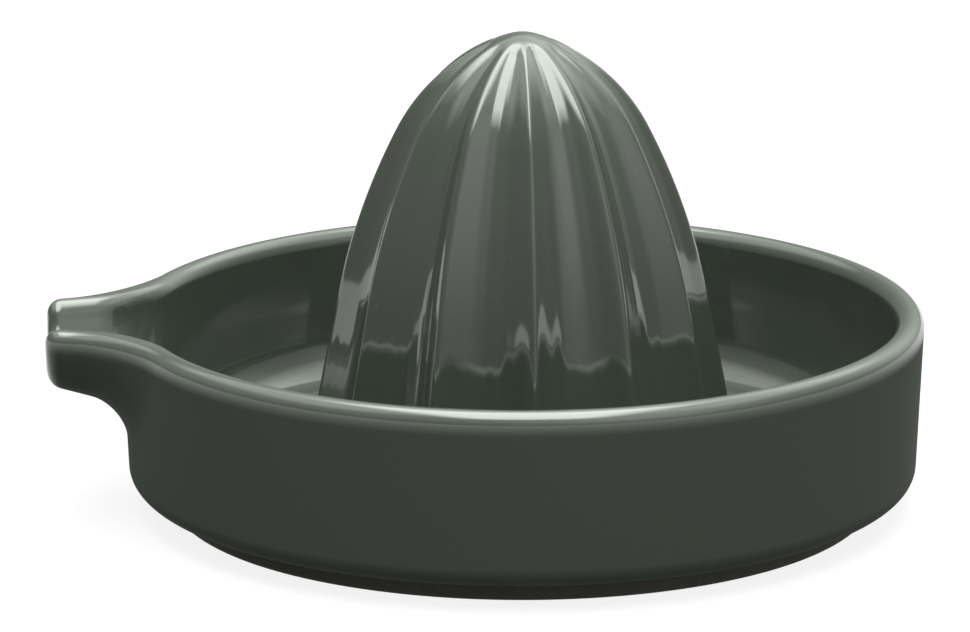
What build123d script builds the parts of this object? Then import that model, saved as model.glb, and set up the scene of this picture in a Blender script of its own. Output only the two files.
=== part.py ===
from build123d import *
import os
from math import acos, asin, cos, degrees, radians, sin, sqrt

# Glazed stoneware citrus juicer: a shallow bowl with a pouring spout and a fluted reaming cone.
# Lengths are in millimetres. The origin is on the bowl's axis at table level, +Z is up, and the
# spout points along -X. The juicer is one fired body, built here from its members as formed.

# Bowl, driving dimensions
bowl_diameter = 140.0  # outside, at the rim
rim_height = 34.5  # table to the crest of the rim
lip_thickness = 4.9  # wall at the rim
wall_lean = 1.14  # how far the outside leans in from the rim down to the bottom corner
well_lean = 1.6  # how far the inside leans in from the rim down to the floor corner
bottom_corner_radius = 3.5  # outside, where the wall turns under
floor_corner_radius = 8.0  # inside, between the wall and the floor
floor_thickness = 3.5

# Foot ring, driving dimensions
foot_diameter = 122.9  # outside
foot_width = 6.5
foot_height = 4.0
foot_edge_radius = 1.0

# Pouring spout, driving dimensions
spout_projection = 13.2  # beyond the rim
spout_tip_radius = 12.7  # outside of the half-round channel at its tip
spout_root_radius = 10.0  # hollow blend between the spout and the outside of the wall
channel_root_radius = 10.0  # rounding between the channel and the inside of the wall
spout_end_radius = 2.0  # lower edge of the tip
panel_width = 64.0  # width of the wall panel that carries the spout
panel_drop = 25.0  # rim crest to the panel's lower seam

# Reaming cone, driving dimensions
cone_base_diameter = 76.4  # over the ridges, on the floor
skirt_height = 29.8  # straight lower part
shoulder_radius = 112.2  # first, flat arc above the skirt
crown_radius = 32.9  # second, tighter arc
tip_radius = 8.5  # last arc, centred on the axis
flute_depth = 4.8  # ridge to hollow, at the base
flute_fade_length = 4.5  # height over which the flutes run out below the smooth tip
flute_end_drop = 1.5  # apex to the top end of the flutes
cone_thickness = 8.4  # ridge to the hollow inside
hollow_tip_radius = 5.0  # top of the hollow inside

# Angles, in degrees
skirt_angle = 11.4  # skirt from vertical
crown_angle = 27.4  # tangent from vertical where the crown begins
flute_count = 12

# Shares
lip_rounding_share = 0.45  # of the lip's thickness
root_room_share = 0.94  # most that the hollow blend takes of the wall below the spout
floor_room_share = 0.57  # most that the floor corner takes of the wall below the channel
channel_room_share = 1.6  # most that the channel's rounding takes of the wall left below it
spout_spread_share = 0.27  # growth of the spout's radius for each length towards the bowl
section_shares = (0.0, 0.16, 0.32, 0.46, 0.58, 0.68, 0.77, 0.85, 0.91, 0.955, 0.985, 1.0)

# One overrun serves all cuts
overrun = 10.0

# Worked out from the sizes above
bowl_radius = bowl_diameter / 2
underside_height = foot_height
floor_height = foot_height + floor_thickness
spout_reach = bowl_radius + spout_projection
cone_base_radius = cone_base_diameter / 2
well_middle = (bowl_radius - lip_thickness + cone_base_radius) / 2
channel_depth = spout_tip_radius - lip_thickness + spout_spread_share * (
    spout_projection + lip_thickness
)
wall_below_channel = rim_height - channel_depth - floor_height
floor_corner = min(floor_corner_radius, floor_room_share * wall_below_channel)
channel_rounding = min(
    channel_root_radius, channel_room_share * (wall_below_channel - floor_corner)
)
wall_below_spout = (
    rim_height - spout_tip_radius - spout_spread_share * spout_projection
    - underside_height - bottom_corner_radius
)
root_rounding = min(spout_root_radius, root_room_share * wall_below_spout)


def revolved(points_and_arcs):
    """Solid turned about Z from a closed outline of lines and three-point arcs in the XZ plane."""
    with BuildSketch(Plane.XZ) as section:
        with BuildLine():
            for piece in points_and_arcs:
                if len(piece) == 2:
                    Line(*piece)
                else:
                    ThreePointArc(*piece)
        make_face()
    return revolve(section.sketch, Axis.Z)


def on_circle(centre, radius, angle):
    """Point on a circle in the outline plane, angle in degrees above the outward direction."""
    return (centre[0] + radius * cos(radians(angle)), centre[1] + radius * sin(radians(angle)))


def bowl_outside():
    """Outside of the wall and the flat underside, filled solid up to the rim."""
    foot_of_wall = bowl_radius - wall_lean
    corner = (foot_of_wall - bottom_corner_radius, underside_height + bottom_corner_radius)
    low = on_circle(corner, bottom_corner_radius, -90)
    middle = on_circle(corner, bottom_corner_radius, -45)
    high = on_circle(corner, bottom_corner_radius, 0)
    rim = (bowl_radius, rim_height)
    return revolved([
        ((0, underside_height), low),
        (low, middle, high),
        (high, rim),
        (rim, (0, rim_height)),
        ((0, rim_height), (0, underside_height)),
    ])


def bowl_inside():
    """Space inside the bowl, its wall line run on past the rim."""
    rim_radius = bowl_radius - lip_thickness
    well_radius = rim_radius - well_lean
    corner = (well_radius - floor_corner, floor_height + floor_corner)
    low = on_circle(corner, floor_corner, -90)
    middle = on_circle(corner, floor_corner, -45)
    high = on_circle(corner, floor_corner, 0)
    top = rim_height + spout_tip_radius + overrun
    slope = (rim_radius - high[0]) / (rim_height - high[1])
    wall_top = (high[0] + slope * (top - high[1]), top)
    return revolved([
        ((0, floor_height), low),
        (low, middle, high),
        (high, wall_top),
        (wall_top, (0, top)),
        ((0, top), (0, floor_height)),
    ])


def spout_taper(radius_at_tip, start, end):
    """Round taper along X at rim height, from start to end, widening towards the bowl."""
    small = radius_at_tip + spout_spread_share * (spout_reach + start)
    large = radius_at_tip + spout_spread_share * (spout_reach + end)
    across = Plane(origin=(start, 0, rim_height), x_dir=(0, 0, 1), z_dir=(1, 0, 0))
    return across * Cone(small, large, end - start, align=(Align.CENTER, Align.CENTER, Align.MIN))


def spout_outside():
    """Lower half of the taper, from the tip to well inside the wall."""
    taper = spout_taper(spout_tip_radius, -spout_reach, -well_middle)
    below_rim = Pos(0, 0, rim_height) * Box(
        2 * (spout_reach + overrun), bowl_diameter, rim_height,
        align=(Align.CENTER, Align.CENTER, Align.MAX),
    )
    return taper & below_rim


def edges_where(shape, test):
    """The shape's edges whose bounding box passes a test."""
    return [edge for edge in shape.edges() if test(edge.bounding_box())]


def edges_at_rim(shape):
    """Level edges at rim height that lie within the bowl's width."""
    sliver = lip_thickness / 100
    width = bowl_radius + sliver
    return edges_where(
        shape,
        lambda box: abs(box.min.Z - rim_height) < sliver and abs(box.max.Z - rim_height) < sliver
        and box.min.Y > -width and box.max.Y < width and box.max.X < width,
    )


def outside_with_spout():
    """Bowl and spout as one filled body, blended at the spout's root and rounded at the rim."""
    body = bowl_outside() + spout_outside()
    root_edges = [edge for edge in body.edges() if edge.geom_type == GeomType.BSPLINE]
    body = fillet(root_edges, root_rounding)
    sliver = spout_end_radius / 10
    tip_edges = edges_where(
        body,
        lambda box: box.max.X < sliver - spout_reach and box.min.Z < rim_height - sliver,
    )
    body = fillet(tip_edges, spout_end_radius)
    return fillet(edges_at_rim(body), lip_thickness * lip_rounding_share)


def space_above():
    """Open space over the whole juicer, resting on the rim."""
    width = 2 * (spout_reach + 2 * overrun)
    height = 2 * (spout_tip_radius + overrun)
    return Pos(0, 0, rim_height) * Box(
        width, width, height, align=(Align.CENTER, Align.CENTER, Align.MIN)
    )


def inside_with_channel():
    """Space inside and above the bowl and its open channel.

    It widens in a round where it passes the rim, which is the inner half of the rounded lip.
    """
    channel = spout_taper(
        spout_tip_radius - lip_thickness, -spout_reach - overrun, -well_middle
    )
    space = bowl_inside() + channel
    root_edges = [edge for edge in space.edges() if edge.geom_type == GeomType.BSPLINE]
    space = fillet(root_edges, channel_rounding) + space_above()
    return fillet(edges_at_rim(space), lip_thickness * lip_rounding_share)


def bowl_with_spout():
    """Wall, floor and spout in one."""
    return outside_with_spout() - inside_with_channel()


def cone_outline(inset, top_radius):
    """Key points and arc centres of the cone's outline, drawn parallel to the ridges.

    From the floor up: a straight skirt, a flat shoulder arc, a crown arc and a tip arc whose
    centre is on the axis. Neighbours share a tangent.
    """
    skirt_normal = (cos(radians(skirt_angle)), sin(radians(skirt_angle)))
    crown_normal = (cos(radians(crown_angle)), sin(radians(crown_angle)))
    slope = sin(radians(skirt_angle)) / cos(radians(skirt_angle))
    ridge_top = (cone_base_radius - skirt_height * slope, floor_height + skirt_height)
    shoulder = (
        ridge_top[0] - shoulder_radius * skirt_normal[0],
        ridge_top[1] - shoulder_radius * skirt_normal[1],
    )
    step = shoulder_radius - crown_radius
    crown = (shoulder[0] + step * crown_normal[0], shoulder[1] + step * crown_normal[1])
    crown_arc = crown_radius - inset
    tip_height = crown[1] + sqrt((crown_arc - top_radius) ** 2 - crown[0] ** 2)
    return {
        "slope": slope,
        "shoulder": shoulder,
        "shoulder_arc": shoulder_radius - inset,
        "crown": crown,
        "crown_arc": crown_arc,
        "tip": (0.0, tip_height),
        "tip_arc": top_radius,
        "skirt_top": on_circle(shoulder, shoulder_radius - inset, skirt_angle),
        "crown_start": on_circle(shoulder, shoulder_radius - inset, crown_angle),
        "crown_end_angle": degrees(acos(-crown[0] / (crown_arc - top_radius))),
    }


def arc_radius(centre, radius, height):
    """Distance from the axis of a point of an arc at a height."""
    return centre[0] + sqrt(radius ** 2 - (height - centre[1]) ** 2)


def radius_at(outline, height):
    """Distance from the axis of the cone's outline at a height."""
    crown_end = on_circle(outline["crown"], outline["crown_arc"], outline["crown_end_angle"])
    if height <= outline["skirt_top"][1]:
        return outline["skirt_top"][0] + (outline["skirt_top"][1] - height) * outline["slope"]
    if height <= outline["crown_start"][1]:
        return arc_radius(outline["shoulder"], outline["shoulder_arc"], height)
    if height <= crown_end[1]:
        return arc_radius(outline["crown"], outline["crown_arc"], height)
    return arc_radius(outline["tip"], outline["tip_arc"], height)


def flute_depth_at(outline, height, end_height):
    """Depth of the flutes at a height: in proportion to the girth, running out at the top."""
    below_end = min(max((end_height - height) / flute_fade_length, 0.0), 1.0)
    fade = below_end * below_end * (3 - 2 * below_end)
    return flute_depth * radius_at(outline, height) / cone_base_radius * fade


def fluted_section(outline, height, end_height):
    """Level face of the cone: hollow arcs that meet in ridges."""
    ridge = radius_at(outline, height)
    hollow = ridge - flute_depth_at(outline, height, end_height)
    turn = 360 / flute_count
    with BuildSketch(Plane.XY.offset(height)) as section:
        with BuildLine():
            for number in range(flute_count):
                ThreePointArc(
                    on_circle((0, 0), ridge, turn * number),
                    on_circle((0, 0), hollow, turn * (number + 1 / 2)),
                    on_circle((0, 0), ridge, turn * (number + 1)),
                )
        make_face()
    return section.sketch


def cone_cap(outline, start_height):
    """Smooth tip above the flutes."""
    start_radius = radius_at(outline, start_height)
    centre = outline["tip"]
    start_angle = degrees(asin((start_height - centre[1]) / outline["tip_arc"]))
    middle = on_circle(centre, outline["tip_arc"], (start_angle + 90) / 2)
    apex = on_circle(centre, outline["tip_arc"], 90)
    return revolved([
        ((0, start_height), (start_radius, start_height)),
        ((start_radius, start_height), middle, apex),
        (apex, (0, start_height)),
    ])


def cone_outside():
    """Filled cone with its flutes, standing on the floor."""
    outline = cone_outline(0, tip_radius)
    apex_height = outline["tip"][1] + tip_radius
    end_height = apex_height - flute_end_drop
    sections = [
        fluted_section(outline, floor_height + share * (end_height - floor_height), end_height)
        for share in section_shares
    ]
    return loft(sections) + cone_cap(outline, end_height)


def cone_hollow():
    """Smooth space inside the cone, run on down through the floor's opening."""
    outline = cone_outline(cone_thickness, hollow_tip_radius)
    mouth_height = -overrun
    mouth = (radius_at(outline, mouth_height), mouth_height)
    skirt_top = outline["skirt_top"]
    crown_start = outline["crown_start"]
    crown_end_angle = outline["crown_end_angle"]
    crown_end = on_circle(outline["crown"], outline["crown_arc"], crown_end_angle)
    shoulder_middle = on_circle(
        outline["shoulder"], outline["shoulder_arc"], (skirt_angle + crown_angle) / 2
    )
    crown_middle = on_circle(
        outline["crown"], outline["crown_arc"], (crown_angle + crown_end_angle) / 2
    )
    tip_middle = on_circle(outline["tip"], outline["tip_arc"], (crown_end_angle + 90) / 2)
    apex = on_circle(outline["tip"], outline["tip_arc"], 90)
    return revolved([
        ((0, mouth_height), mouth),
        (mouth, skirt_top),
        (skirt_top, shoulder_middle, crown_start),
        (crown_start, crown_middle, crown_end),
        (crown_end, tip_middle, apex),
        (apex, (0, mouth_height)),
    ])


def foot_ring():
    """Standing ring, its two lower edges rounded."""
    outer = foot_diameter / 2
    ring = Cylinder(outer, foot_height, align=(Align.CENTER, Align.CENTER, Align.MIN))
    bore = Cylinder(outer - foot_width, foot_height, align=(Align.CENTER, Align.CENTER, Align.MIN))
    ring = ring - bore
    sliver = foot_height / 100
    return fillet(edges_where(ring, lambda box: box.max.Z < sliver), foot_edge_radius)


def spout_panel_space():
    """Block round the wall panel that carries the spout."""
    well_radius = bowl_radius - lip_thickness - well_lean
    inner_reach = sqrt(well_radius ** 2 - (panel_width / 2) ** 2) - floor_corner
    length = spout_reach + overrun - inner_reach
    height = panel_drop + overrun
    return Pos(-inner_reach, 0, rim_height - panel_drop) * Box(
        length, panel_width, height, align=(Align.MAX, Align.CENTER, Align.MIN)
    )


def save(name, shape):
    """Write one member to its own file."""
    export_step(shape, os.path.join("parts", name + ".step"))
    size = shape.bounding_box().size
    print(f"{name}: {size.X:.1f} x {size.Y:.1f} x {size.Z:.1f}, volume {shape.volume:.0f}")


os.makedirs("parts", exist_ok=True)
hollow = cone_hollow()
body = bowl_with_spout()
panel_space = spout_panel_space()
save("bowl", body - panel_space - hollow)
save("pouring_spout", body & panel_space)
save("reamer_cone", cone_outside() - hollow)
save("foot_ring", foot_ring())
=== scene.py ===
# %% [markdown]
# # A glazed stoneware citrus juicer
# The object is a shallow round bowl with a pouring lip on its left and a fluted cone in the
# middle, all under one dark grey-green glaze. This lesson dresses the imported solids: each visible
# member is made again as a fine surface worked out with numpy, then given its finish, its light
# and its camera. Lengths are worked out in millimetres and put into the meshes in metres.

import bpy
import numpy as np
from mathutils import Matrix, Vector


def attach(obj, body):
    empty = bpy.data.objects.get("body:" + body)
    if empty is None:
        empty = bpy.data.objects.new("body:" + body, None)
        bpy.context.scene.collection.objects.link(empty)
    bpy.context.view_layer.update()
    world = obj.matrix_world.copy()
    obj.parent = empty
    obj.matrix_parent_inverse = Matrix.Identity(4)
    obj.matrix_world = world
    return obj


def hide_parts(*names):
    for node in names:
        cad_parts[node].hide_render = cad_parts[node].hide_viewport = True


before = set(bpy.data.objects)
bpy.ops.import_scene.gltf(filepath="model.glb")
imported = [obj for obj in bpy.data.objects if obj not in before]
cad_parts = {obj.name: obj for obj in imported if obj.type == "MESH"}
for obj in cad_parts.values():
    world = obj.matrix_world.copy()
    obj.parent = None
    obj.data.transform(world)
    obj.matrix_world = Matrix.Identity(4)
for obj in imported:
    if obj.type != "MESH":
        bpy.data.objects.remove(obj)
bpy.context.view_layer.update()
print("members of the frame:", sorted(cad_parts))

# %% [markdown]
# ## Sizes
# The same sizes drive the solids, so they are repeated here once and every piece reads them.
# The bowl's axis is the Z axis, the table is at height 0 and the spout points along -X.

# %% Sizes in millimetres
MM = 0.001
BOWL_RADIUS = 70.0
RIM_HEIGHT = 34.5
LIP = 4.9
WALL_LEAN = 1.14
WELL_LEAN = 1.6
UNDERSIDE = 4.0
FLOOR = 7.5
BOTTOM_CORNER = 3.5
FLOOR_CORNER = 8.0
SPOUT_REACH = 82.8
SPOUT_RADIUS = 12.7
SPOUT_SPREAD = 0.27
SPOUT_RISE = 0.5
ROOT_BLEND = 10.0
ROOT_BLEND_LOW = 5.5
FOOT_OUTER = 61.45
FOOT_INNER = 54.95
FOOT_EDGE = 1.0
CONE_BASE = 38.2
SKIRT_ANGLE = np.radians(11.4)
CROWN_ANGLE = np.radians(27.4)
SKIRT_HEIGHT = 29.8
SHOULDER_RADIUS = 112.2
CROWN_RADIUS = 32.9
TIP_RADIUS = 8.5
CONE_THICKNESS = 8.4
HOLLOW_TIP = 5.0
FLUTES = 12
FLUTE_DEPTH = 4.8
LIP_ROUND = LIP / 2
WELL_MIDDLE = (BOWL_RADIUS - LIP + CONE_BASE) / 2
print("bowl", 2 * BOWL_RADIUS, "mm across, spout tip", SPOUT_REACH, "mm from the axis")


# %% [markdown]
# ## From arrays to a mesh
# Every piece is a grid: rows follow a profile and columns go round the axis. One helper carries a
# profile round the axis, one joins neighbouring grid points into four-sided faces, and one makes
# the mesh. Where the exact direction in which the surface faces is known, it is handed over with
# the points, so that reflections in the glaze run clean.

# %% Grid helpers
def even_turn(columns):
    """Angles of so many columns, evenly spaced round the axis, as one row."""
    return np.linspace(0, 2 * np.pi, columns + 1)[None, :-1]


def lathe(r, z, turn):
    """Points at distance r from the axis and height z, at every angle of a turn round it."""
    return np.stack([r * np.cos(turn), r * np.sin(turn), z + 0 * turn], -1)


def grid_faces(rows, columns, close_rows, first=0):
    """Faces between neighbours of a rows x columns grid that closes round its columns.

    Each face takes a point, the next in its row, and the two below; with close_rows the last row
    is joined to the first. The number of the grid's first point is added to all.
    """
    r = np.arange(rows if close_rows else rows - 1)[:, None]
    c = np.arange(columns)[None, :]
    below, beside = (r + 1) % rows, (c + 1) % columns
    corners = [r * columns + c, r * columns + beside, below * columns + beside,
               below * columns + c]
    corners = [np.broadcast_to(corner, (len(r), columns)) for corner in corners]
    return first + np.stack(corners, -1).reshape(-1, 4)


print("an open grid of 3 rows and 4 columns has", len(grid_faces(3, 4, False)), "faces")


# %% Mesh helper
def make_piece(name, points, faces, normals=None):
    """Mesh object from points in millimetres, lists of faces, and the points' directions."""
    mesh = bpy.data.meshes.new(name)
    corners = np.concatenate([f.ravel() for f in faces])
    sizes = np.concatenate([np.full(len(f), f.shape[1]) for f in faces])
    starts = np.concatenate([[0], np.cumsum(sizes)[:-1]])
    mesh.vertices.add(len(points))
    mesh.vertices.foreach_set("co", (points * MM).astype(np.float32).ravel())
    mesh.loops.add(len(corners))
    mesh.loops.foreach_set("vertex_index", corners.astype(np.int32))
    mesh.polygons.add(len(sizes))
    mesh.polygons.foreach_set("loop_start", starts.astype(np.int32))
    mesh.polygons.foreach_set("loop_total", sizes.astype(np.int32))
    mesh.update(calc_edges=True)
    mesh.validate()
    mesh.polygons.foreach_set("use_smooth", np.ones(len(mesh.polygons), bool))
    if normals is not None:
        mesh.normals_split_custom_set_from_vertices(normals.astype(np.float32))
    piece = bpy.data.objects.new(name, mesh)
    bpy.context.scene.collection.objects.link(piece)
    print(name, len(mesh.vertices), "points,", int((sizes - 2).sum()), "triangles")
    return piece


# %% [markdown]
# ## The bowl and its pouring lip
# The real bowl is thrown, and the spout's panel is let into its wall while the clay is soft; the
# joints are smoothed away with a wet finger and the glaze covers them. Cut and joined solids give
# creases there. So the whole body is written as one distance rule, whose value is below zero in
# the clay and above zero outside it: the space inside the outer form, outside the inner form and
# below the rim. Forms are joined and cut with rounded corners, which gives the soft lip and the
# blends at the spout's root.

# %% Rounded joins of distances
def round_cut(distances, radius):
    """Inside all of the forms at once, with every outer corner rounded to a radius.

    Minus the radius or the largest distance, whichever is smaller, plus the length of the vector
    of those distances that come within the radius of the surface.
    """
    over = [np.maximum(d + radius, 0) for d in distances]
    largest = np.maximum.reduce(distances)
    return np.minimum(-radius, largest) + np.sqrt(sum(o * o for o in over))


def round_join(a, b, radius):
    """Inside either form, with the inner corner between them filled to a radius.

    The radius or the smaller distance, whichever is larger, less the length of the vector of
    what each distance lacks to the radius.
    """
    near = np.hypot(np.maximum(radius - a, 0), np.maximum(radius - b, 0))
    return np.maximum(radius, np.minimum(a, b)) - near


print("a sharp corner cut to a radius of 2 mm:", round(float(round_cut([0.0, 0.0], 2.0)), 3), "mm")


# %% Outer and inner form
NEAR_AXIS = 0.1


def leaning_wall(r, z, low, low_radius, top_radius):
    """Distance outside a wall line that runs from a low point up to the rim."""
    slope = (top_radius - low_radius) / (RIM_HEIGHT - low)
    return (r - low_radius - slope * (z - low)) / np.hypot(1, slope)


def taper(x, y, z, tip_radius):
    """Distance outside the round taper that forms the spout, its axis just above the rim.

    The taper's radius is the one at the tip plus the spread times the way back from the tip. It
    ends in the middle of the well.
    """
    girth = tip_radius + SPOUT_SPREAD * (SPOUT_REACH + x)
    side = (np.hypot(y, z - RIM_HEIGHT - SPOUT_RISE) - girth) / np.hypot(1, SPOUT_SPREAD)
    return np.maximum(side, x + WELL_MIDDLE)


def outer_form(x, y, z):
    """Outside of bowl and spout: leaning wall and flat underside, joined with the taper.

    The blend at the spout's root goes from its upper to its lower radius with the square of the
    downward part of the direction from the rim's height on the spout's plane.
    """
    r = np.hypot(x, y)
    wall = leaning_wall(r, z, UNDERSIDE + BOTTOM_CORNER, BOWL_RADIUS - WALL_LEAN, BOWL_RADIUS)
    bowl = round_cut([wall, UNDERSIDE - z], BOTTOM_CORNER)
    off_axis = np.maximum(np.hypot(y, z - RIM_HEIGHT), NEAR_AXIS)
    under = np.clip((RIM_HEIGHT - z) / off_axis, 0, 1)
    blend = ROOT_BLEND + (ROOT_BLEND_LOW - ROOT_BLEND) * under ** 2
    return round_join(bowl, taper(x, y, z, SPOUT_RADIUS), blend)


def inner_form(x, y, z):
    """Space in the bowl and the spout's channel: leaning wall and flat floor, and the taper."""
    r = np.hypot(x, y)
    rim = BOWL_RADIUS - LIP
    wall = leaning_wall(r, z, FLOOR + FLOOR_CORNER, rim - WELL_LEAN, rim)
    well = round_cut([wall, FLOOR - z], FLOOR_CORNER)
    return round_join(well, taper(x, y, z, SPOUT_RADIUS - LIP), ROOT_BLEND)


def bowl_body(x, y, z):
    """The clay: in the outer form, out of the inner one, below the rim, behind the spout's end."""
    parts = [outer_form(x, y, z), -inner_form(x, y, z), z - RIM_HEIGHT, -SPOUT_REACH - x]
    return round_cut(parts, LIP_ROUND)


print("middle of the wall:", round(float(bowl_body(BOWL_RADIUS - LIP_ROUND, 0.0, 20.0)), 2),
      "mm; middle of the well:", round(float(bowl_body(WELL_MIDDLE, 0.0, 20.0)), 2), "mm")

# %% [markdown]
# ### From the rule to a grid
# The surface is read off that rule in upright half-planes round the axis, one for each column of
# the grid. The columns crowd at the spout, where the outline in plan turns fastest.

# %% Columns round the bowl
COLUMNS = 540
FINE_ANGLES = 7201
SPOUT_SECTOR, SECTOR_EDGE, SECTOR_EXTRA = 24, 1.5, 5.5
CORNER_PLACE, CORNER_WIDTH, CORNER_EXTRA = 10.5, 2.2, 4


def column_angles():
    """Angles of the columns, even round the bowl and six to ten times closer at the spout.

    The density is one, plus a step that ends softly at the edge of the spout's sector, plus a
    bell at each corner of the lip, with all places in degrees from the spout's middle. The
    columns divide the density's running total evenly.
    """
    fine = np.radians(np.linspace(0, 360, FINE_ANGLES))
    off = np.degrees(np.abs(np.angle(np.exp(1j * (fine - np.pi)))))
    sector = SECTOR_EXTRA / (1 + np.exp((off - SPOUT_SECTOR) / SECTOR_EDGE))
    corner = CORNER_EXTRA * np.exp(-(((off - CORNER_PLACE) / CORNER_WIDTH) ** 2))
    density = 1 + sector + corner
    total = np.concatenate([[0], np.cumsum((density[1:] + density[:-1]) / 2)])
    return np.interp(np.linspace(0, total[-1], COLUMNS + 1)[:-1], total, fine)


angles = column_angles()
cos_a, sin_a = np.cos(angles)[:, None], np.sin(angles)[:, None]
print("columns:", COLUMNS, "from", round(float(np.degrees(np.diff(angles).min())), 2), "to",
      round(float(np.degrees(np.diff(angles).max())), 2), "degrees apart")

# %% [markdown]
# The rim's crest comes next. In plan it follows the outer form, drawn in by the lip's rounding,
# and it is found by halving. At the tip of the spout the crest dips with the open channel.

# %% Crest of the rim
SEARCH_FROM, SEARCH_TO = 40.0, 95.0
TIP_MARGIN = 1.05


def halve(rule, low, high, steps=40):
    """Where a rule that rises from below zero to above zero crosses it, for whole arrays."""
    for _ in range(steps):
        middle = (low + high) / 2
        inside = rule(middle) < 0
        low, high = np.where(inside, middle, low), np.where(inside, high, middle)
    return (low + high) / 2


def crest_rule(r):
    """Plan outline of the rim: outer form at rim height, drawn in by the lip's rounding."""
    x, y = r * cos_a, r * sin_a
    return np.maximum(outer_form(x, y, RIM_HEIGHT + 0 * x), -SPOUT_REACH - x) + LIP_ROUND


crest_r = halve(crest_rule, np.full_like(cos_a, SEARCH_FROM), np.full_like(cos_a, SEARCH_TO))
crest_y = crest_r * sin_a
middle_girth = SPOUT_RADIUS - LIP_ROUND + SPOUT_SPREAD * LIP_ROUND
at_tip = crest_r * cos_a < LIP_ROUND * TIP_MARGIN - SPOUT_REACH
dip = np.sqrt(np.maximum(middle_girth ** 2 - crest_y ** 2, 0)) - SPOUT_RISE
dip = np.where(at_tip, dip, 0)
crest_z = RIM_HEIGHT - np.maximum(dip, LIP_ROUND)
print("middle of the lip: from", round(float(crest_r.min()), 1), "to",
      round(float(crest_r.max()), 1), "mm from the axis")

# %% [markdown]
# In each half-plane, lines from one point above the hole in the floor meet the inner and the
# outer surface once each. Where they do is found by halving too. Together with half a ring over
# the crest, these points are a first loop round the clay, still with sharp corners.

# %% First loop
HOLE_TOP = CONE_BASE - CONE_THICKNESS / np.cos(SKIRT_ANGLE)
HOLE_BOTTOM = HOLE_TOP + (FLOOR - UNDERSIDE) * np.tan(SKIRT_ANGLE)
LINES = 260
CAP_POINTS = 24
LEAST_HALF = 0.5
eye_r, eye_z = (HOLE_TOP + HOLE_BOTTOM) / 2, RIM_HEIGHT
crest_angle = np.arctan2(crest_z - eye_z, crest_r - eye_r)
look = -np.pi / 2 + (crest_angle + np.pi / 2) * np.linspace(0, 1, LINES)[None, :]
line_r, line_z = np.cos(look), np.sin(look)


def on_line(form, limit=110.0):
    """Distance along each line, from straight down to the crest, at which a form is met."""
    def rule(t):
        r = eye_r + t * line_r
        return form(r * cos_a, r * sin_a, eye_z + t * line_z)
    return halve(rule, np.zeros_like(look), np.full_like(look, limit))


def outer_clipped(x, y, z):
    """Outer form, ended at the spout's tip."""
    return np.maximum(outer_form(x, y, z), -SPOUT_REACH - x)


t_outer = on_line(outer_clipped)
t_inner = np.minimum(on_line(inner_form), t_outer)
cap = np.linspace(0, np.pi, CAP_POINTS)[None, 1:-1]
last_r, last_z = line_r[:, -1:], line_z[:, -1:]
half = np.maximum((t_outer - t_inner)[:, -1:] / 2, LEAST_HALF)
centre_r = eye_r + (t_outer + t_inner)[:, -1:] / 2 * last_r
centre_z = eye_z + (t_outer + t_inner)[:, -1:] / 2 * last_z
cap_r = centre_r + half * np.cos(cap) * last_r - LIP_ROUND * np.sin(cap) * last_z
cap_z = centre_z + half * np.cos(cap) * last_z + LIP_ROUND * np.sin(cap) * last_r
loop_r = np.concatenate([eye_r + t_outer * line_r, cap_r, (eye_r + t_inner * line_r)[:, ::-1]], 1)
loop_z = np.concatenate([eye_z + t_outer * line_z, cap_z, (eye_z + t_inner * line_z)[:, ::-1]], 1)
print("first loop:", loop_r.shape[1], "points in each half-plane")

# %% [markdown]
# The loop is then pulled onto the rounded rule, against its gradient, and its points are spread
# again with more of them where it bends. After three rounds the points sit on the surface.

# %% Loop on the rule
ROWS = 168
FINE_ROWS = 500
ROUNDS = 6
LEAST_SLOPE = 0.05
BEND_WINDOW = 15
BEND_WEIGHT = 2.6


def gradient(x, y, z, step=0.01):
    """Steepest rise of the body's distance rule, from differences to both sides."""
    gx = bowl_body(x + step, y, z) - bowl_body(x - step, y, z)
    gy = bowl_body(x, y + step, z) - bowl_body(x, y - step, z)
    gz = bowl_body(x, y, z + step) - bowl_body(x, y, z - step)
    return gx / (2 * step), gy / (2 * step), gz / (2 * step)


def pull(r, z):
    """Points pulled onto the surface within their half-plane.

    Each round steps against the gradient by the rule's value over the gradient's length.
    """
    for _ in range(ROUNDS):
        x, y = r * cos_a, r * sin_a
        value = bowl_body(x, y, z)
        gx, gy, gz = gradient(x, y, z)
        gr = gx * cos_a + gy * sin_a
        size = np.maximum(gr * gr + gz * gz, LEAST_SLOPE)
        r, z = r - value * gr / size, z - value * gz / size
    return r, z


def spread(r, z, count):
    """Loop points spread again along each column, closer where the loop turns.

    A step weighs its length plus the mean bend round it times the bend's weight. Each column's
    running total goes from 0 to 1, and 2 is added for each column before, so that one table
    serves all of them.
    """
    dr, dz = np.diff(r, axis=1), np.diff(z, axis=1)
    step = np.hypot(dr, dz)
    heading = np.unwrap(np.arctan2(dz, dr), axis=1)
    bend = np.zeros_like(step)
    bend[:, 1:-1] = np.abs(heading[:, 2:] - heading[:, :-2]) / 2
    side = BEND_WINDOW // 2
    sums = np.cumsum(np.pad(bend, ((0, 0), (side + 1, side))), axis=1)
    mean = (sums[:, BEND_WINDOW:] - sums[:, :-BEND_WINDOW]) / BEND_WINDOW
    total = np.cumsum(step + BEND_WEIGHT * mean, axis=1)
    total = np.concatenate([np.zeros((len(r), 1)), total], axis=1)
    shift = 2 * np.arange(len(r))[:, None]
    known = (total / total[:, -1:] + shift).ravel()
    wanted = np.linspace(0, 1, count)[None, :] + shift
    return np.interp(wanted, known, r.ravel()), np.interp(wanted, known, z.ravel())


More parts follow.
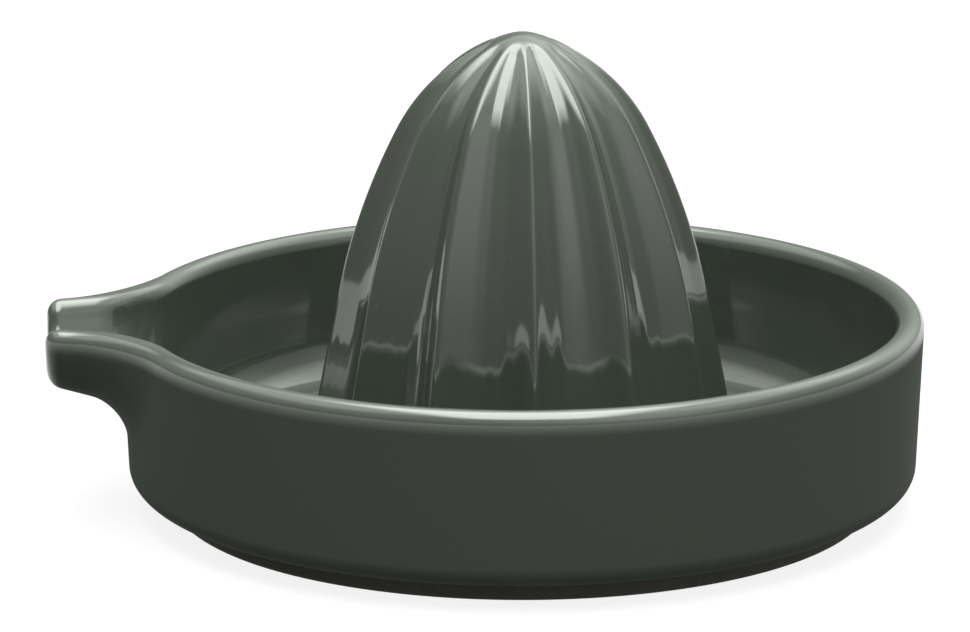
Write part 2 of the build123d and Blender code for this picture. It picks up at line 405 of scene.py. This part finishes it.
for count in (FINE_ROWS, FINE_ROWS, ROWS):
    loop_r, loop_z = pull(loop_r, loop_z)
    loop_r, loop_z = spread(loop_r, loop_z, count)
loop_r, loop_z = pull(loop_r, loop_z)
loop_r[:, 0], loop_z[:, 0] = HOLE_BOTTOM, UNDERSIDE
loop_r[:, -1], loop_z[:, -1] = HOLE_TOP, FLOOR
bowl_x, bowl_y, bowl_z = loop_r * cos_a, loop_r * sin_a, loop_z
left_over = np.abs(bowl_body(bowl_x, bowl_y, bowl_z))[:, 1:-1]
print("bowl surface: farthest point from the rule", round(float(left_over.max()), 4), "mm")

# %% [markdown]
# Each loop starts and ends at the round hole under the cone. Two more rows, close to the hole's
# edges, make its wall, which leans as the cone's skirt does and keeps crisp edges. The
# directions of all other points come from the rule's gradient.

# %% Bowl mesh
EDGE_SHARE = 0.03
normal = np.stack(gradient(bowl_x, bowl_y, bowl_z), -1)
normal /= np.linalg.norm(normal, axis=-1, keepdims=True)
normal = normal.transpose(1, 0, 2)
points = np.stack([bowl_x, bowl_y, bowl_z], -1).transpose(1, 0, 2)
down = np.array([EDGE_SHARE, 1 - EDGE_SHARE])[:, None, None]
wall_rows = points[-1] + (points[0] - points[-1]) * down
lean = np.array([HOLE_TOP - HOLE_BOTTOM, FLOOR - UNDERSIDE])
lean = lean / np.hypot(*lean)
wall_normal = np.stack([-np.cos(angles) * lean[1], -np.sin(angles) * lean[1],
                        np.full(COLUMNS, lean[0])], -1)
glazed_bowl = make_piece(
    "glazed_bowl",
    np.concatenate([points, wall_rows]).reshape(-1, 3),
    [grid_faces(ROWS + 2, COLUMNS, True)],
    np.concatenate([normal, np.stack([wall_normal, wall_normal])]).reshape(-1, 3),
)
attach(glazed_bowl, "root")
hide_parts("bowl", "pouring_spout")

# %% [markdown]
# The outside of the wall shines much less than the rest, and on the rim's outer face and just below
# it a paler band is painted, as painted light for the brighter glow there. Both are stored on the
# bowl's points as numbers from 0 to 1, which the glaze reads below.
# They are worked out from the distance to the outer form, which fades within the skin's depth,
# and from the height: each mark starts some way below the rim and changes over an edge.

# %% Marks for the glaze
SKIN_DEPTH = 1.6
MATT_BELOW_RIM, MATT_EDGE = 1.2, 2.5
RIM_LIGHT_BELOW_RIM, RIM_LIGHT_EDGE, RIM_LIGHT_POWER = 4.4, 3.2, 1.3


def paint(piece, name, values):
    """Stores one number for each point of the bowl, with nothing on the hole's two rows."""
    layer = piece.data.attributes.new(name, "FLOAT", "POINT")
    flat = np.concatenate([values.T.ravel(), np.zeros(2 * COLUMNS)])
    layer.data.foreach_set("value", flat.astype(np.float32))
    print(name, "is above a half on", int((flat > 0.5).sum()), "points")


facing_out = np.clip(1 - np.abs(outer_form(bowl_x, bowl_y, bowl_z)) / SKIN_DEPTH, 0, 1)
matt_share = np.clip((RIM_HEIGHT - MATT_BELOW_RIM - bowl_z) / MATT_EDGE, 0, 1)
# painted light: a paler band on the rim's outer face and just below it, standing in for brighter
# light there
rim_light_share = np.clip((bowl_z - RIM_HEIGHT + RIM_LIGHT_BELOW_RIM) / RIM_LIGHT_EDGE, 0, 1) ** RIM_LIGHT_POWER
paint(glazed_bowl, "outer_side", facing_out * matt_share)
paint(glazed_bowl, "painted_rim_light", facing_out * rim_light_share)


# %% [markdown]
# ## The fluted cone
# The cone is pressed or carved with twelve hollow flutes that meet in ridges and run out just
# below a small smooth tip. Glaze softens the ridges and gathers where the cone meets the floor.
# A lathe profile gives the ridges' outline; each flute is a flat arc sunk below it, in proportion
# to the girth, and the distance to the ridge is softened so that the ridge is round.

# %% Cone profile
TIP_CROWDING = 1.25


def cone_profile(inset, top_radius, count):
    """Outline of the cone from the floor to the apex, as distances from the axis and heights.

    Straight skirt, shoulder arc, crown arc and tip arc, each tangent to the last, all drawn an
    inset inside the ridges; points are even along the outline and closer near the tip.
    """
    ridge_r = CONE_BASE - SKIRT_HEIGHT * np.tan(SKIRT_ANGLE)
    shoulder = np.array([ridge_r - SHOULDER_RADIUS * np.cos(SKIRT_ANGLE),
                         FLOOR + SKIRT_HEIGHT - SHOULDER_RADIUS * np.sin(SKIRT_ANGLE)])
    step = SHOULDER_RADIUS - CROWN_RADIUS
    crown = shoulder + step * np.array([np.cos(CROWN_ANGLE), np.sin(CROWN_ANGLE)])
    crown_arc = CROWN_RADIUS - inset
    tip = np.array([0.0, crown[1] + np.sqrt((crown_arc - top_radius) ** 2 - crown[0] ** 2)])
    end = np.arccos(-crown[0] / (crown_arc - top_radius))
    shoulder_arc = SHOULDER_RADIUS - inset
    skirt_top = shoulder + shoulder_arc * np.array([np.cos(SKIRT_ANGLE), np.sin(SKIRT_ANGLE)])
    foot = (skirt_top[1] - FLOOR) / np.cos(SKIRT_ANGLE)
    lengths = [foot, shoulder_arc * (CROWN_ANGLE - SKIRT_ANGLE), crown_arc * (end - CROWN_ANGLE),
               top_radius * (np.pi / 2 - end)]
    stops = np.concatenate([[0], np.cumsum(lengths)])
    s = stops[-1] * (1 - (1 - np.linspace(0, 1, count)) ** TIP_CROWDING)
    angle = np.interp(s, stops, [SKIRT_ANGLE, SKIRT_ANGLE, CROWN_ANGLE, end, np.pi / 2])
    which = np.searchsorted(stops[1:-1], s, side="right")
    centres = np.array([shoulder, shoulder, crown, tip])[which]
    radii = np.array([shoulder_arc, shoulder_arc, crown_arc, top_radius])[which]
    line = centres + radii[:, None] * np.stack([np.cos(angle), np.sin(angle)], -1)
    below = np.maximum(foot - s, 0)
    line[:, 0] += below * np.sin(SKIRT_ANGLE)
    line[:, 1] -= below * np.cos(SKIRT_ANGLE)
    line[-1, 0] = 0
    return line


CONE_ROWS, HOLLOW_ROWS = 150, 60
line = cone_profile(0.0, TIP_RADIUS, CONE_ROWS)
hollow_line = cone_profile(CONE_THICKNESS, HOLLOW_TIP, HOLLOW_ROWS)
print("cone: height above the floor", round(float(line[-1, 1] - FLOOR), 2), "mm; hollow mouth",
      round(float(hollow_line[0, 0]), 2), "mm")

# %% [markdown]
# A flute that is carved by hand is never quite even, and a glossy glaze shows it: the highlights
# on the real cone waver. So three fine waves run round the cone, a few hundredths of a
# millimetre high. Their counts don't divide by the flutes, so no two flutes look the same.

# %% Flutes
FLUTE_FADE = 2.6
FLUTE_END = 0.3
SHALLOW = 0.35
RIDGE_SOFTNESS, MOST_SOFT, LEAST_SPAN = 0.45, 1.5, 0.01
FLOOR_FILLET = 1.6
CARVING_MARKS = 0.045
MARK_WAVES = ((35, 1.0, 1.3, 1.1), (53, 0.8, 4.0, -0.9), (71, 0.6, 2.2, 1.6))


def carving(line, turn):
    """Slight upright unevenness of the carved flutes, as a sum of waves round the axis.

    Each wave has a count round the axis, a height, a start, and a lean that grows with the
    height above the table. All are in proportion to the girth.
    """
    up = line[:, 1:] / CONE_BASE
    waves = sum(height * np.sin(count * turn + start + slant * up)
                for count, height, start, slant in MARK_WAVES)
    return CARVING_MARKS * waves * line[:, :1] / CONE_BASE


def flute_shape(line, turn):
    """Distance from the axis at each outline point and angle.

    Between two ridges the surface is a flat arc, hollow by the flute's depth at its middle. The
    share of the way from ridge to middle is softened near the ridge, which rounds the ridge.
    Near the floor a quarter circle is added, the fillet.
    """
    ridge = line[:, :1]
    fade = np.clip((line[-1, 1] - FLUTE_END - line[:, 1:]) / FLUTE_FADE, 0, 1)
    depth = FLUTE_DEPTH * ridge / CONE_BASE * fade * fade * (3 - 2 * fade)
    half_turn = np.pi / FLUTES
    off = np.abs((turn / half_turn + 1) % 2 - 1)
    span = np.maximum(ridge * np.sin(half_turn), LEAST_SPAN)
    soft = np.minimum(RIDGE_SOFTNESS / span, MOST_SOFT)
    t = 1 - (np.hypot(off, soft) - soft) / (np.hypot(1, soft) - soft)
    middle = ridge - depth
    across = np.arctan(t * np.tan(half_turn))
    arc = (middle + (ridge * np.cos(half_turn) - middle) * t * t) / np.cos(across)
    share = np.clip(depth / SHALLOW, 0, 1)
    r = ridge + (np.minimum(arc, ridge) - ridge) * share
    r = r + (carving(line, turn) - CARVING_MARKS) * share
    rise = np.clip((line[:, 1:] - FLOOR) / FLOOR_FILLET, 0, 1)
    return r + FLOOR_FILLET * (1 - np.sqrt(1 - (1 - rise) ** 2))


CONE_COLUMNS, HOLLOW_COLUMNS = FLUTES * 44, FLUTES * 11
turn = even_turn(CONE_COLUMNS)
outer = lathe(flute_shape(line, turn), line[:, 1:], turn)
inner = lathe(hollow_line[:, :1], hollow_line[:, 1:], even_turn(HOLLOW_COLUMNS))
print("cone: grid of", outer.shape[:2], "outside and", inner.shape[:2], "in the hollow")


# %% [markdown]
# The cone is hollow, as a piece of even wall has to be, and stands on the bowl's floor. Its
# outside and its hollow are two grids that end in one point each, and a flat ring of triangles
# joins their lower edges, so that the mesh is closed.

# %% Cone mesh
def surface_normals(grid):
    """Outward directions of a grid that closes round its columns.

    The cross product of the step round the axis and the step up the outline, made one long.
    """
    round_step = np.roll(grid, -1, 1) - np.roll(grid, 1, 1)
    n = np.cross(round_step, np.gradient(grid, axis=0))
    return n / np.maximum(np.linalg.norm(n, axis=-1, keepdims=True), 1e-9)


def capped(grid, first, inwards):
    """Points and faces of a grid whose last row is one point, facing out or turned inwards."""
    rows, columns = grid.shape[0] - 1, grid.shape[1]
    quads = grid_faces(rows, columns, False, first)
    c = np.arange(columns)
    last = first + (rows - 1) * columns
    apex = np.full(columns, first + rows * columns)
    cap = np.stack([last + c, last + (c + 1) % columns, apex], -1)
    if inwards:
        quads, cap = quads[:, ::-1], cap[:, ::-1]
    return with_tip(grid), [quads, cap]


def with_tip(grid):
    """A grid's values as one list, with its last row, which is one point, given once."""
    return np.concatenate([grid[:-1].reshape(-1, 3), grid[-1:, 0]])


outer_points, outer_faces = capped(outer, 0, False)
base = len(outer_points)
inner_points, inner_faces = capped(inner, base, True)
steps = CONE_COLUMNS // HOLLOW_COLUMNS
fine = np.arange(CONE_COLUMNS)
coarse = np.arange(HOLLOW_COLUMNS)
outer_ring = np.stack([fine, base + fine // steps, (fine + 1) % CONE_COLUMNS], -1)
inner_ring = np.stack([base + coarse, base + (coarse + 1) % HOLLOW_COLUMNS,
                       (coarse + 1) * steps % CONE_COLUMNS], -1)
cone_normals = surface_normals(outer)
cone_normals[-1] = (0, 0, 1)
hollow_normals = -surface_normals(inner)
hollow_normals[-1] = (0, 0, -1)
reaming_cone = make_piece(
    "fluted_cone",
    np.concatenate([outer_points, inner_points]),
    outer_faces + inner_faces + [outer_ring, inner_ring],
    np.concatenate([with_tip(cone_normals), with_tip(hollow_normals)]),
)
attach(reaming_cone, "root")
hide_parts("reamer_cone")


# %% [markdown]
# ## The standing ring
# The ring under the floor is wiped free of glaze so that the piece doesn't stick to the kiln
# shelf. Its profile is a rectangle with its two lower edges worn round.

# %% Ring mesh
RING_COLUMNS = 288
EDGE_POINTS, SIDE_POINTS = 8, 4


def ring_profile():
    """Closed outline of the ring: two rounded lower corners and two square upper ones."""
    a = np.linspace(0, np.pi / 2, EDGE_POINTS)
    low_in = np.stack([FOOT_INNER + FOOT_EDGE * (1 - np.cos(a)), FOOT_EDGE * (1 - np.sin(a))], -1)
    low_out = np.stack([FOOT_OUTER - FOOT_EDGE * (1 - np.sin(a)), FOOT_EDGE * (1 - np.cos(a))], -1)
    side = np.linspace(FOOT_EDGE, UNDERSIDE, SIDE_POINTS + 1)[1:]
    up = np.stack([np.full(SIDE_POINTS, FOOT_OUTER), side], -1)
    down = np.stack([np.full(SIDE_POINTS, FOOT_INNER), side[::-1]], -1)
    return np.concatenate([low_in, low_out, up, down])


profile = ring_profile()
ring = lathe(profile[:, :1], profile[:, 1:], even_turn(RING_COLUMNS))
ring_faces = grid_faces(len(profile), RING_COLUMNS, True)[:, ::-1]
standing_ring = make_piece("standing_ring", ring.reshape(-1, 3), [ring_faces])
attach(standing_ring, "root")
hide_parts("foot_ring")


# %% [markdown]
# ## Writing materials as sums
# A finish is written as an expression on values over the surface. A small class wraps a socket,
# so that a line such as 1 - mask * 0.3 adds the Math nodes that work it out. A second one holds
# the nodes of one material or of the world, and adds every other node.

# %% Socket class
class Value:
    """A shader value: wraps an output socket and adds Math nodes for the operators."""

    def __init__(self, tree, socket):
        self.tree = tree
        self.socket = socket

    def math(self, operation, *items):
        """Result of a Math node that works on one or two items, each a value or a number."""
        node = self.tree.nodes.new("ShaderNodeMath")
        node.operation = operation
        for place, item in enumerate(items):
            if isinstance(item, Value):
                self.tree.links.new(item.socket, node.inputs[place])
            else:
                node.inputs[place].default_value = item
        return Value(self.tree, node.outputs[0])

    def __add__(self, other):
        return self.math("ADD", self, other)

    def __radd__(self, other):
        return self.math("ADD", other, self)

    def __sub__(self, other):
        return self.math("SUBTRACT", self, other)

    def __rsub__(self, other):
        return self.math("SUBTRACT", other, self)

    def __mul__(self, other):
        return self.math("MULTIPLY", self, other)

    def __rmul__(self, other):
        return self.math("MULTIPLY", other, self)

    def __truediv__(self, other):
        return self.math("DIVIDE", self, other)

    def __rtruediv__(self, other):
        return self.math("DIVIDE", other, self)

    def __pow__(self, other):
        return self.math("POWER", self, other)

    def __rpow__(self, other):
        return self.math("POWER", other, self)

    def __abs__(self):
        return self.math("ABSOLUTE", self)

    def at_least(self, least):
        """The value, or the least one where it would be smaller."""
        return self.math("MAXIMUM", self, least)

    def clamp(self):
        """The value, kept between 0 and 1."""
        return self.math("MINIMUM", self.at_least(0.0), 1.0)


# %% Node class
class Recipe:
    """The nodes of one material, or of the world, with one method that adds any node."""

    def __init__(self, owner):
        self.owner = owner
        owner.use_nodes = True
        self.tree = owner.node_tree
        self.tree.nodes.clear()

    def node(self, kind, settings=None, output=0, **sockets):
        """Adds a node of a kind: first its settings, then the values and links of its sockets.

        A socket goes by its name, with _ for a space, or by the letter i and its number. A node
        without an output gives nothing back.
        """
        node = self.tree.nodes.new(kind)
        for key, item in (settings or {}).items():
            setattr(node, key, item)
        for key, item in sockets.items():
            place = int(key[1:]) if key[1:].isdigit() else key.replace("_", " ")
            if isinstance(item, Value):
                self.tree.links.new(item.socket, node.inputs[place])
            else:
                node.inputs[place].default_value = item
        return Value(self.tree, node.outputs[output]) if len(node.outputs) else None

    def colour_mix(self, share, first, second):
        """A colour that goes from the first to the second as the share goes from 0 to 1."""
        return self.node("ShaderNodeMix", {"data_type": "RGBA"}, output=2, Factor=share,
                         i6=first, i7=second)

    def object_place(self):
        """The place on the piece, in metres from its origin."""
        return self.node("ShaderNodeTexCoord", output="Object")

    def stored(self, name):
        """A number that was stored on the points of the piece."""
        return self.node("ShaderNodeAttribute", {"attribute_name": name}, output="Fac")


# %% [markdown]
# ## The glaze
# A dark grey-green glaze of iron and ash, glossy, with a faint mottling where it lay thicker or
# thinner, and fine specks. On the rim's outer face and just below it the colour is painted paler,
# as painted light for the brighter glow there. On the outside of the wall it is nearly matt, so
# there the clear coat that makes it shine is all but gone and the body below is rough. The colour,
# the roughness, the coat's weight and a very slight bump are all that changes over the surface.

# %% Glaze material
THICK_GLAZE = (0.050, 0.060, 0.049, 1)
EVEN_GLAZE = (0.066, 0.077, 0.064, 1)
SPECK_COLOUR = (0.085, 0.092, 0.076, 1)
WALL_COLOUR = (0.074, 0.085, 0.071, 1)
# the next colour is painted light: the paler band on the rim's outer face and just below it
PAINTED_RIM_LIGHT_COLOUR = (0.112, 0.122, 0.109, 1)
SPECK_FROM, SPECK_STEEPNESS, SPECK_SHARE = 0.62, 9, 0.5
BODY_ROUGHNESS, CLOUD_ROUGHNESS, WALL_ROUGHNESS = 0.40, 0.08, 0.45
WALL_TINT, WALL_BARENESS = 0.85, 0.97
glaze = Recipe(bpy.data.materials.new("glaze"))
place = glaze.object_place()
cloud = glaze.node("ShaderNodeTexNoise", Vector=place, Scale=38.0, Detail=3.0, Roughness=0.5)
speck = glaze.node("ShaderNodeTexNoise", Vector=place, Scale=900.0, Detail=2.0, Roughness=0.6)
ripple = glaze.node("ShaderNodeTexNoise", Vector=place, Scale=260.0, Detail=2.0, Roughness=0.5)
dots = ((speck - SPECK_FROM) * SPECK_STEEPNESS).clamp()
outer_side = glaze.stored("outer_side")
tone = glaze.colour_mix(cloud, THICK_GLAZE, EVEN_GLAZE)
tone = glaze.colour_mix(dots * SPECK_SHARE, tone, SPECK_COLOUR)
tone = glaze.colour_mix(outer_side * WALL_TINT, tone, WALL_COLOUR)
# painted light: the band near the rim is mixed towards a paler colour in place of brighter light
# there
tone = glaze.colour_mix(glaze.stored("painted_rim_light"), tone, PAINTED_RIM_LIGHT_COLOUR)
skin = glaze.node("ShaderNodeBump", Strength=0.05, Distance=0.0004, Height=ripple)
rough = BODY_ROUGHNESS + cloud * CLOUD_ROUGHNESS + outer_side * WALL_ROUGHNESS
shader = glaze.node("ShaderNodeBsdfPrincipled", Base_Color=tone, Roughness=rough, IOR=1.5,
                    Specular_IOR_Level=0.05, Coat_Weight=1 - outer_side * WALL_BARENESS,
                    Coat_Roughness=0.06, Coat_IOR=1.9, Normal=skin)
glaze.node("ShaderNodeOutputMaterial", Surface=shader)
for piece in (glazed_bowl, reaming_cone):
    piece.data.materials.append(glaze.owner)
print("glaze:", len(glaze.tree.nodes), "nodes")

# %% [markdown]
# ## The bare clay
# Fired stoneware without glaze is matt, a warm dark grey, and slightly gritty. One fine noise
# gives the grains their colour, their roughness and their height.

# %% Clay material
DARK_CLAY = (0.060, 0.056, 0.050, 1)
PALE_CLAY = (0.14, 0.132, 0.118, 1)
clay = Recipe(bpy.data.materials.new("bare_clay"))
grain = clay.node("ShaderNodeTexNoise", Vector=clay.object_place(), Scale=700.0, Detail=4.0,
                  Roughness=0.6)
grit = clay.node("ShaderNodeBump", Strength=0.35, Distance=0.0003, Height=grain)
shader = clay.node("ShaderNodeBsdfPrincipled", Roughness=0.85 + grain * 0.1, Normal=grit,
                   Base_Color=clay.colour_mix(grain, DARK_CLAY, PALE_CLAY))
clay.node("ShaderNodeOutputMaterial", Surface=shader)
standing_ring.data.materials.append(clay.owner)
print("clay:", len(clay.tree.nodes), "nodes")

# %% [markdown]
# ## The white table
# The juicer stands on a white sweep that has no visible edge. To the camera and in reflections
# the floor gives off light of its own on top of a matt grey, which makes it as white as the
# world behind and keeps the soft shadow. To all other light it is the matt grey alone, so that
# it doesn't light the bowl from below.

# %% Floor
FLOOR_HALF = 4
FLOOR_GREY = (0.14, 0.14, 0.14, 1)
FLOOR_GLOW = 0.86
corners = [(-1, -1), (1, -1), (1, 1), (-1, 1)]
floor_mesh = bpy.data.meshes.new("floor")
floor_mesh.from_pydata([(FLOOR_HALF * x, FLOOR_HALF * y, 0) for x, y in corners], [],
                       [(0, 1, 2, 3)])
floor = bpy.data.objects.new("floor", floor_mesh)
bpy.context.scene.collection.objects.link(floor)
sweep = Recipe(bpy.data.materials.new("white_sweep"))
seen = (sweep.node("ShaderNodeLightPath", output="Is Camera Ray")
        + sweep.node("ShaderNodeLightPath", output="Is Glossy Ray")
        + sweep.node("ShaderNodeLightPath", output="Is Transmission Ray"))
fibre = sweep.node("ShaderNodeTexNoise", Vector=sweep.object_place(), Scale=3.0)
matt = sweep.node("ShaderNodeBsdfPrincipled", Base_Color=FLOOR_GREY,
                  Roughness=0.88 + fibre * 0.04, Specular_IOR_Level=0.0)
paper = sweep.node("ShaderNodeEmission", Strength=FLOOR_GLOW)
bright = sweep.node("ShaderNodeAddShader", i0=matt, i1=paper)
shader = sweep.node("ShaderNodeMixShader", i0=seen.clamp(), i1=matt, i2=bright)
sweep.node("ShaderNodeOutputMaterial", Surface=shader)
floor.data.materials.append(sweep.owner)
print("floor:", 2 * FLOOR_HALF, "m wide,", len(sweep.tree.nodes), "nodes")


# %% [markdown]
# ## The light in the room
# The photograph is taken under one large soft light overhead. The glaze mirrors the room, so the
# light is painted on the world: a lamp would show in the glaze with a hard edge. A strip lies on
# a ceiling one unit up, a weaker and broader patch behind it, and two round glows to the right,
# in front and behind, all fading at their edges over a dim room. The world is faintly green, as
# the reflections in the photograph are. The camera itself sees plain white.

# %% World
ROOM, SKY, STRIP, PATCH, FRONT, BEHIND = 0.22, 0.22, 4.8, 1.1, 0.7, 1.1
WORLD_COLOUR = (0.94, 1.0, 0.93, 1)
HORIZON = 0.05
STRIP_FORWARD, PATCH_BACK = 0.08, 0.45
bpy.context.scene.world = bpy.data.worlds.new("studio")
studio = Recipe(bpy.context.scene.world)
direction = studio.node("ShaderNodeTexCoord", output="Generated")
sideways = studio.node("ShaderNodeSeparateXYZ", output="X", Vector=direction)
behind = studio.node("ShaderNodeSeparateXYZ", output="Y", Vector=direction)
upward = studio.node("ShaderNodeSeparateXYZ", output="Z", Vector=direction)


def window(across, half, edge):
    """One inside a half width, fading to zero over a soft edge outside it."""
    return ((half + edge - abs(across)) / edge).clamp()


def glow(x, y, z, power):
    """A round glow about a direction: the cosine of the angle to it, raised to a power."""
    return (sideways * x + behind * y + upward * z).at_least(0.0) ** power


above = upward.at_least(HORIZON)
across, along = sideways / above, behind / above
strip = (window(across, half=0.22, edge=0.2)
         * window(along + STRIP_FORWARD, half=0.52, edge=0.35))
patch = (window(across, half=0.8, edge=0.6)
         * window(along - PATCH_BACK, half=0.65, edge=0.5))
front_glow = glow(0.45, -0.72, 0.53, power=8.0)
behind_glow = glow(0.52, 0.68, 0.52, power=9.0)
radiance = (ROOM + above * SKY + strip * STRIP + patch * PATCH + front_glow * FRONT
            + behind_glow * BEHIND)
lit = studio.node("ShaderNodeBackground", Color=WORLD_COLOUR, Strength=radiance)
plain = studio.node("ShaderNodeBackground", Color=(1, 1, 1, 1), Strength=1.0)
room = studio.node("ShaderNodeMixShader", i1=lit, i2=plain,
                   i0=studio.node("ShaderNodeLightPath", output="Is Camera Ray"))
studio.node("ShaderNodeOutputWorld", Surface=room)
print("world:", len(studio.tree.nodes), "nodes")

# %% [markdown]
# ## The camera
# The rim's ellipse and the upright axis give the camera: about 14.5 degrees above the table and
# 3.6 degrees round towards the spout, far off with a long lens. The shift slides the frame so that
# the axis falls right of its middle.

# %% Camera
PIXELS_WIDE = 970
PIXELS_PER_METRE = 5737.0
AXIS_COLUMN = 522.5
SENSOR = 36.0
DISTANCE = 1.0
ELEVATION, AZIMUTH = np.radians(14.51), np.radians(3.6)
TARGET = Vector((0, 0, 0.0329))
camera_data = bpy.data.cameras.new("camera")
camera = bpy.data.objects.new("camera", camera_data)
bpy.context.scene.collection.objects.link(camera)
away = Vector((-np.sin(AZIMUTH) * np.cos(ELEVATION), -np.cos(AZIMUTH) * np.cos(ELEVATION),
               np.sin(ELEVATION)))
aim = (-away).to_track_quat("-Z", "Y").to_matrix().to_4x4()
camera.matrix_world = Matrix.Translation(TARGET + DISTANCE * away) @ aim
camera_data.sensor_width = SENSOR
camera_data.sensor_fit = "HORIZONTAL"
camera_data.lens = SENSOR * PIXELS_PER_METRE * DISTANCE / PIXELS_WIDE
camera_data.shift_x = -(AXIS_COLUMN - PIXELS_WIDE / 2) / PIXELS_WIDE
camera_data.clip_end = 50
bpy.context.scene.camera = camera
bpy.context.scene.view_settings.view_transform = "Standard"
print("lens", round(camera_data.lens, 1), "mm")
